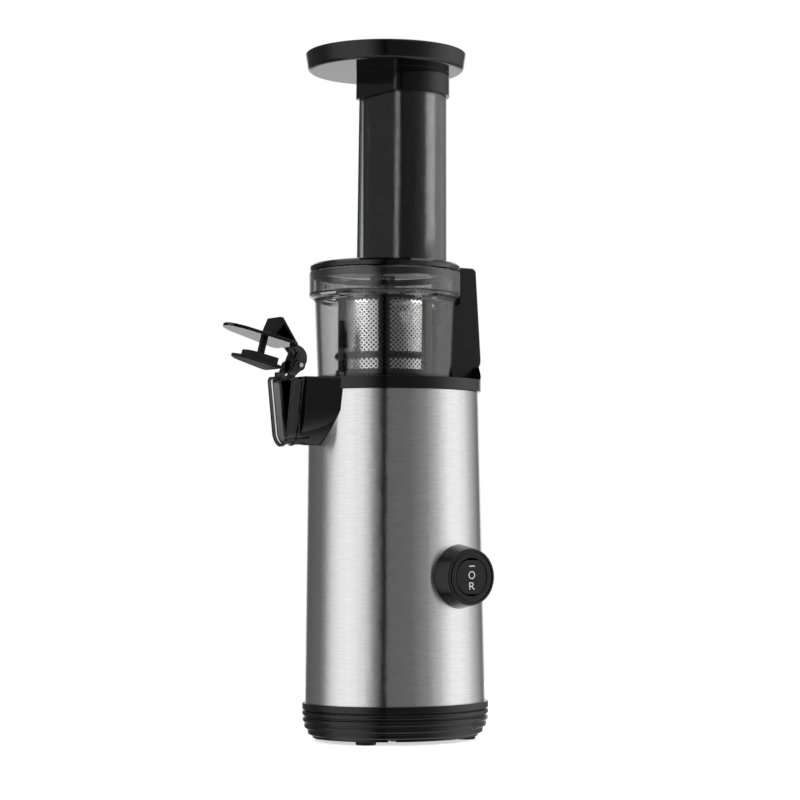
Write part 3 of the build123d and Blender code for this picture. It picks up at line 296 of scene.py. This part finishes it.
# see-through plastics; density is what a metre of it takes away, so thick walls look darker
clearPlastic = {
    "smokyClear": {"tint": 0.97, "deep": 0.93, "density": 125.0, "low": 0.0, "high": 0.02, "edge": 0.0003},
    "smokyChute": {"tint": 0.95, "deep": 0.90, "density": 160.0, "low": 0.03, "high": 0.06, "edge": 0.0032},
    "smokyDark": {"tint": 0.97, "deep": 0.93, "density": 1700.0, "low": 0.02, "high": 0.05, "edge": 0.0003},
}
clearSkin = {"ior": 1.5, "smears": 30.0, "clouds": 40.0, "cloudDetail": 2.0, "ripples": 120.0,
             "rippleDetail": 1.0, "bump": 0.004, "depth": 0.0002}


def smokyPlastic(name):
    look = clearPlastic[name]
    material, tree, shader = startMaterial(name, transmission=1.0, ior=clearSkin["ior"])
    surface = tree.nodes["Material Output"]
    smears = useGroup(tree, handling, Scale=clearSkin["smears"], Low=look["low"], High=look["high"])
    clouds = useGroup(tree, grain, Scale=clearSkin["clouds"], Detail=clearSkin["cloudDetail"])
    ripples = useGroup(tree, grain, Scale=clearSkin["ripples"], Detail=clearSkin["rippleDetail"])
    bump = addNode(tree, "Bump", {"Strength": clearSkin["bump"], "Distance": clearSkin["depth"]})
    color = mixColors(tree, clouds.outputs[0], grey(look["deep"]), grey(look["tint"]))
    rounded = addNode(tree, "Bevel", {"Radius": look["edge"]}, samples=bevelSamples)
    tree.links.new(rounded.outputs[0], bump.inputs["Normal"])
    smoke = addNode(tree, "VolumeAbsorption", {"Color": grey(0.0), "Density": look["density"]})
    tree.links.new(smoke.outputs[0], surface.inputs["Volume"])
    wireSurface(tree, shader, bump, color, smears, ripples)
    rays = addNode(tree, "LightPath")
    through = addNode(tree, "BsdfTransparent")      # shadow rays pass, so that lamps light what is inside
    both = addNode(tree, "MixShader")
    tree.links.new(color, through.inputs["Color"])
    tree.links.new(rays.outputs["Is Shadow Ray"], both.inputs[0])
    tree.links.new(shader.outputs[0], both.inputs[1])
    tree.links.new(through.outputs[0], both.inputs[2])
    tree.links.new(both.outputs[0], surface.inputs["Surface"])
    return material


inkLook = {"roughness": 0.5, "flecks": 2500.0, "detail": 2.0, "dark": 0.50, "bright": 0.64}


def printedInk():
    material, tree, shader = startMaterial("whiteInk", roughness=inkLook["roughness"])
    flecks = useGroup(tree, grain, Scale=inkLook["flecks"], Detail=inkLook["detail"])
    color = mixColors(tree, flecks.outputs[0], grey(inkLook["dark"]), grey(inkLook["bright"]))
    tree.links.new(color, shader.inputs["Base Color"])
    return material


boardLook = {"roughness": 0.3, "weave": 500.0, "stretch": (1, 6, 1), "detail": 2.0, "bump": 0.05,
             "depth": 0.0001, "dark": (0.01, 0.10, 0.04, 1), "bright": (0.03, 0.22, 0.09, 1)}


def boardLacquer():
    material, tree, shader = startMaterial("boardGreen", roughness=boardLook["roughness"])
    weave = useGroup(tree, grain, Stretch=boardLook["stretch"], Scale=boardLook["weave"],
                     Detail=boardLook["detail"])
    bump = addNode(tree, "Bump", {"Strength": boardLook["bump"], "Distance": boardLook["depth"]})
    color = mixColors(tree, weave.outputs[0], boardLook["dark"], boardLook["bright"])
    tree.links.new(color, shader.inputs["Base Color"])
    tree.links.new(weave.outputs[0], bump.inputs["Height"])
    tree.links.new(bump.outputs[0], shader.inputs["Normal"])
    return material


# which piece wears which finish
finishes = {
    "glossBlack": ["base_pan", "bowl_base", "pulp_chute", "food_tray", "pusher_head", "switch_bezel",
                   "switch_rocker"],
    "softBlack": ["pusher_body"],
    "satinBlack": ["rear_column", "cap_lever", "cap_stem", "top_deck", "auger", "motor_end_cap",
                   "switch_housing", "gearbox_housing", "cooling_fan"],
    "rubber": ["rubber_feet", "cord_gland", "shaft_seal", "motor_dampers", "bowl_seal", "lid_seal",
               "cap_stopper", "carbon_brushes", "motor_magnets"],
    "boardBlack": ["board_parts"],
    "gearNylon": ["motor_pinion", "first_gear", "second_gear", "output_gear", "gearbox_cover"],
    "turnedSteel": ["drive_shaft", "rotor_shaft", "gear_pins", "drive_bearings", "tie_rods", "cover_screws",
                    "motor_screws", "column_screws", "cap_pin", "rocker_pin"],
    "canSteel": ["motor_can", "armature"],
    "copper": ["windings", "commutator", "switch_terminals"],
    "bronze": ["motor_bearings"],
    "smokyClear": ["bowl", "lid"],
    "smokyChute": ["feed_chute"],
    "smokyDark": ["cap_plate", "spout_nozzle", "strainer_frame"],
}


def dress(material, *names):
    # a carried-over piece keeps its mesh and gets the finish
    for name in names:
        for place in nodes[name].material_slots:
            place.material = material


def dressFrame():
    for name, members in finishes.items():
        if name in moulding:
            material = mouldedPlastic(name)
        elif name in metalLooks:
            material = metal(name)
        else:
            material = smokyPlastic(name)
        dress(material, *members)
    dress(brushedSteel(), "body_shell")
    dress(boardLacquer(), "control_board")


dressFrame()
print("finishes on the carried-over pieces")


def meshObject(name, shape, material):
    mesh = bpy.data.meshes.new(name)
    shape.to_mesh(mesh)
    shape.free()
    made = bpy.data.objects.new(name, mesh)
    bpy.context.scene.collection.objects.link(made)
    mesh.materials.append(material)
    return made


def finishPiece(name, shape, material, body, stands=()):
    piece = meshObject(name, shape, material)
    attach(piece, body)
    if stands:
        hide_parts(*stands)
    return piece


def everything(shape):
    return shape.verts[:] + shape.edges[:] + shape.faces[:]


def copyMoved(shape, source, step):
    made = bmesh.ops.duplicate(shape, geom=source)["geom"]
    moved = [item for item in made if isinstance(item, bmesh.types.BMVert)]
    bmesh.ops.translate(shape, verts=moved, vec=step)


def repeatAlong(shape, step, count):
    # copies of everything in the mesh, each one step further
    first = everything(shape)
    for index in range(1, count):
        copyMoved(shape, first, Vector(step) * index)


# the perforated sheet: across counts holes around, rows counts pairs of staggered rows, hole is a radius
sheet = {"across": 62, "rows": 16, "pitch": 1.35 * mm, "hole": 0.64 * mm, "holeSides": 8, "thick": 0.35 * mm,
         "onAxis": 0.3 * mm, "weld": 0.02 * mm}


def perforatedSheet():
    low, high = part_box("strainer_sheet")
    radius = (high.x - low.x) / 2 - sheet["thick"] / 2
    width = 2 * pi * radius / sheet["across"]
    shape = bmesh.new()
    bmesh.ops.create_circle(shape, segments=sheet["holeSides"], radius=sheet["hole"])
    frameRing = bmesh.ops.create_circle(shape, segments=sheet["holeSides"], radius=sheet["pitch"])["verts"]
    for vertex in frameRing:       # a brick-shaped cell, so that rows of holes stagger
        onAxis = abs(vertex.co.x) < sheet["onAxis"]
        vertex.co.x = 0 if onAxis else width / 2 * (1 if vertex.co.x > 0 else -1)
        vertex.co.y = sheet["pitch"] / 2 * (1 if vertex.co.y > 0 else -1)
    bmesh.ops.bridge_loops(shape, edges=shape.edges[:])
    repeatAlong(shape, (width, 0, 0), sheet["across"])
    copyMoved(shape, everything(shape), (width / 2, sheet["pitch"], 0))
    repeatAlong(shape, (0, 2 * sheet["pitch"], 0), sheet["rows"])
    tall = 2 * sheet["rows"] * sheet["pitch"]
    start = (low.z + high.z) / 2 - tall / 2 + sheet["pitch"] / 2
    for vertex in shape.verts:     # the flat sheet is rolled up
        turn = vertex.co.x / radius
        vertex.co = (radius * cos(turn), radius * sin(turn), start + vertex.co.y)
    bmesh.ops.remove_doubles(shape, verts=shape.verts[:], dist=sheet["weld"])
    bmesh.ops.recalc_face_normals(shape, faces=shape.faces[:])
    bmesh.ops.solidify(shape, geom=shape.faces[:], thickness=sheet["thick"] / 2)
    print("perforated sheet:", len(shape.faces), "faces")
    return finishPiece("perforated_sheet", shape, metal("sheetSteel"), "bowl_unit",
                       ["strainer_sheet"])


perforatedSheet()

# the marks on the rocker: a bar, a ring and a letter for reverse; bar, ring and letter are heights
marks = {"y": 21.3 * mm, "stroke": 0.55 * mm, "thick": 0.05 * mm, "face": 56.8 * mm, "hollow": 60.0 * mm,
         "faceMiddle": 94 * mm, "bar": 100.1 * mm, "barWidth": 3.9 * mm, "barSteps": 6,
         "ring": 95.1 * mm, "ringRadius": 1.95 * mm, "ringSteps": 32,
         "letter": 87.0 * mm, "letterHeight": 3.9 * mm}
# the letter: distances to the right are in metres, the rest are shares of its height
letter = {"left": 1.6 * mm, "stemSteps": 4, "loopRight": 1.5 * mm, "loopUp": 0.72, "loopRadius": 0.25,
          "loopSteps": 8, "legStart": 1.3 * mm, "legRun": 1.8 * mm, "legUp": 0.45, "legSteps": 3}


def straight(start, end, steps):
    # a line in short steps, so that it can follow the rocker's hollow face
    return [tuple(a + (b - a) * step / steps for a, b in zip(start, end)) for step in range(steps + 1)]


def inkStrip(shape, points, closed=False):
    # a flat stroke through points given across and up
    edgePairs = []
    count = len(points)
    for index, point in enumerate(points):
        before = points[index - 1] if closed or index else point
        after = points[(index + 1) % count] if closed or index < count - 1 else point
        along = (Vector(after) - Vector(before)).normalized()
        side = Vector((-along.y, along.x)) * marks["stroke"] / 2
        edgePairs.append([shape.verts.new((0, point[0] + sign * side.x, point[1] + sign * side.y))
                          for sign in (1, -1)])
    for index in range(count if closed else count - 1):
        first, second = edgePairs[index], edgePairs[(index + 1) % count]
        shape.faces.new((first[0], first[1], second[1], second[0]))


def drawBar(shape):
    half, height = marks["barWidth"] / 2, marks["bar"]
    inkStrip(shape, straight((marks["y"] - half, height), (marks["y"] + half, height), marks["barSteps"]))


def drawRing(shape):
    radius, steps = marks["ringRadius"], marks["ringSteps"]
    turns = [2 * pi * step / steps for step in range(steps)]
    inkStrip(shape, [(marks["y"] + radius * cos(turn), marks["ring"] + radius * sin(turn)) for turn in turns],
             closed=True)


def drawLetter(shape):
    left, low, tall = marks["y"] - letter["left"], marks["letter"], marks["letterHeight"]
    inkStrip(shape, straight((left, low), (left, low + tall), letter["stemSteps"]))
    loopRadius, loopMiddle = tall * letter["loopRadius"], low + tall * letter["loopUp"]
    turns = [pi / 2 - pi * step / letter["loopSteps"] for step in range(letter["loopSteps"] + 1)]
    loop = [(left + letter["loopRight"] + loopRadius * cos(turn), loopMiddle + loopRadius * sin(turn))
            for turn in turns]
    inkStrip(shape, [(left, loopMiddle + loopRadius)] + loop + [(left, loopMiddle - loopRadius)])
    legTop = (left + letter["legStart"], low + tall * letter["legUp"])
    inkStrip(shape, straight(legTop, (legTop[0] + letter["legRun"], low), letter["legSteps"]))


def rockerMarks():
    shape = bmesh.new()
    drawBar(shape)
    drawRing(shape)
    drawLetter(shape)
    for vertex in shape.verts:     # the rocker's face is hollow
        rise = vertex.co.z - marks["faceMiddle"]
        lift = marks["hollow"] - sqrt(marks["hollow"] ** 2 - rise ** 2)
        vertex.co.x = marks["face"] + lift + marks["thick"]
    bmesh.ops.recalc_face_normals(shape, faces=shape.faces[:])
    for face in shape.faces:
        if face.normal.x < 0:
            face.normal_flip()
    bmesh.ops.solidify(shape, geom=shape.faces[:], thickness=marks["thick"])
    return finishPiece("rocker_marks", shape, printedInk(), "rocker")


rockerMarks()
print("marks on the rocker")

# the floor, the wall that the gloss mirrors and the light around the part, in metres
studio = {
    "floorSize": 0.5, "floorSides": 64, "floorColor": 0.86, "floorRoughness": 0.6,
    "speckle": 0.02, "speckleScale": 300.0, "speckleDetail": 2.0, "floorGlow": 0.2, "floorShown": 0.6,
    "wallRadius": 1.95, "wallLow": -2.4, "wallHigh": 2.4, "wallSteps": 96,
    "lampAim": 0.2, "worldFill": 0.55,
}
# brightness of that wall by its turn from the camera, in degrees, left to right
wallTones = [(-180, 1.0), (-164, 1.0), (-154, 0.16), (-140, 0.135), (-102.5, 0.2), (-92.6, 0.36),
             (-83.6, 0.72), (-75, 1.02), (-62, 1.25), (-45, 1.32), (-27.5, 1.17), (-18.4, 0.75),
             (-13.9, 0.44), (-9.4, 0.255), (-4.9, 0.107), (-2.5, 0.02), (1.2, 0.02), (3.4, 0.165),
             (31, 0.19), (41, 0.265), (50.6, 0.34), (66, 0.71), (72, 0.95), (83, 1.30), (96.4, 1.35),
             (111.5, 1.11), (120, 0.80), (131, 0.53), (144, 0.26), (154, 0.2), (164, 1.0), (180, 1.0)]


def stageObject(name, shape, material):
    made = meshObject(name, shape, material)
    return made


def paleFloor():
    material, tree, shader = startMaterial("paleFloor", roughness=studio["floorRoughness"])
    speckle = useGroup(tree, grain, Scale=studio["speckleScale"], Detail=studio["speckleDetail"])
    color = mixColors(tree, speckle.outputs[0], grey(studio["floorColor"] - studio["speckle"]),
                      grey(studio["floorColor"] + studio["speckle"]))
    tree.links.new(color, shader.inputs["Base Color"])
    rays = addNode(tree, "LightPath")
    glow = addNode(tree, "MapRange", {"To Min": studio["floorGlow"], "To Max": studio["floorShown"]})
    shader.inputs["Emission Color"].default_value = grey(1.0)
    tree.links.new(rays.outputs["Is Camera Ray"], glow.inputs["Value"])
    tree.links.new(glow.outputs[0], shader.inputs["Emission Strength"])
    shape = bmesh.new()
    bmesh.ops.create_circle(shape, cap_ends=True, segments=studio["floorSides"], radius=studio["floorSize"])
    floor = stageObject("pale_floor", shape, material)
    floor.visible_glossy = False   # the gloss mirrors the wall all the way down
    return floor


def wallGlow():
    material = bpy.data.materials.new("lightWall")
    material.use_nodes = True
    tree = material.node_tree
    tree.nodes.remove(tree.nodes["Principled BSDF"])
    place = addNode(tree, "TexCoord")
    split = addNode(tree, "SeparateXYZ")
    turn = addNode(tree, "Math", operation="ARCTAN2")
    share = addNode(tree, "MapRange", {"From Min": -pi, "From Max": pi})
    ramp = addNode(tree, "ValToRGB")
    glow = addNode(tree, "Emission")
    tree.links.new(place.outputs["Object"], split.inputs[0])
    tree.links.new(split.outputs["Y"], turn.inputs[0])
    tree.links.new(split.outputs["X"], turn.inputs[1])
    tree.links.new(turn.outputs[0], share.inputs["Value"])
    tree.links.new(share.outputs[0], ramp.inputs[0])
    tree.links.new(ramp.outputs[0], glow.inputs["Color"])
    tree.links.new(glow.outputs[0], tree.nodes["Material Output"].inputs["Surface"])
    stops = ramp.color_ramp.elements
    while len(stops) > 1:
        stops.remove(stops[-1])
    stops[0].position = 0
    stops[0].color = grey(wallTones[0][1])
    for angle, tone in wallTones[1:]:
        stops.new((angle + 180) / 360).color = grey(tone)
    return material


def lightWall():
    # a ring of soft boxes and grey cards, met only by reflections
    shape = bmesh.new()
    bmesh.ops.create_cone(shape, cap_ends=False, segments=studio["wallSteps"], radius1=studio["wallRadius"],
                          radius2=studio["wallRadius"], depth=studio["wallHigh"] - studio["wallLow"])
    bmesh.ops.translate(shape, verts=shape.verts[:], vec=(0, 0, (studio["wallHigh"] + studio["wallLow"]) / 2))
    wall = stageObject("light_wall", shape, wallGlow())
    wall.rotation_euler.z = radians(cameraPlace["azimuth"] - 90)
    wall.visible_camera = False
    wall.visible_diffuse = False
    wall.visible_shadow = False
    return wall


# turn is in degrees from the camera, power in watts
lamps = [
    {"name": "left_lamp", "turn": -60, "distance": 1.5, "height": 0.9, "size": 0.9, "power": 16},
    {"name": "right_lamp", "turn": 85, "distance": 1.5, "height": 0.9, "size": 0.9, "power": 16},
    {"name": "top_lamp", "turn": 150, "distance": 0.6, "height": 1.7, "size": 1.0, "power": 12},
]


def hangLamps():
    for lamp in lamps:
        turn = radians(cameraPlace["azimuth"] + lamp["turn"])
        light = bpy.data.lights.new(lamp["name"], "AREA")
        light.energy = lamp["power"]
        light.size = lamp["size"]
        holder = bpy.data.objects.new(lamp["name"], light)
        bpy.context.scene.collection.objects.link(holder)
        holder.location = (sin(turn) * lamp["distance"], -cos(turn) * lamp["distance"], lamp["height"])
        aim = Vector((0, 0, studio["lampAim"]))
        holder.rotation_euler = (aim - holder.location).to_track_quat("-Z", "Y").to_euler()
        holder.visible_glossy = False


def whiteWorld():
    # white to the camera, in gloss and through the clear pieces, dimmer as a light
    world = bpy.data.worlds.new("studio")
    bpy.context.scene.world = world
    world.use_nodes = True
    tree = world.node_tree
    background = tree.nodes["Background"]
    rays = addNode(tree, "LightPath")
    shown = rays.outputs["Is Camera Ray"]
    for name in ("Is Glossy Ray", "Is Transmission Ray"):
        either = addNode(tree, "Math", operation="MAXIMUM")
        tree.links.new(shown, either.inputs[0])
        tree.links.new(rays.outputs[name], either.inputs[1])
        shown = either.outputs[0]
    level = addNode(tree, "MapRange", {"To Min": studio["worldFill"], "To Max": 1.0})
    tree.links.new(shown, level.inputs["Value"])
    background.inputs["Color"].default_value = grey(1.0)
    tree.links.new(level.outputs[0], background.inputs["Strength"])


placeCamera()
paleFloor()
lightWall()
hangLamps()
whiteWorld()
bpy.context.scene.view_settings.view_transform = "Standard"
print("studio and camera set")
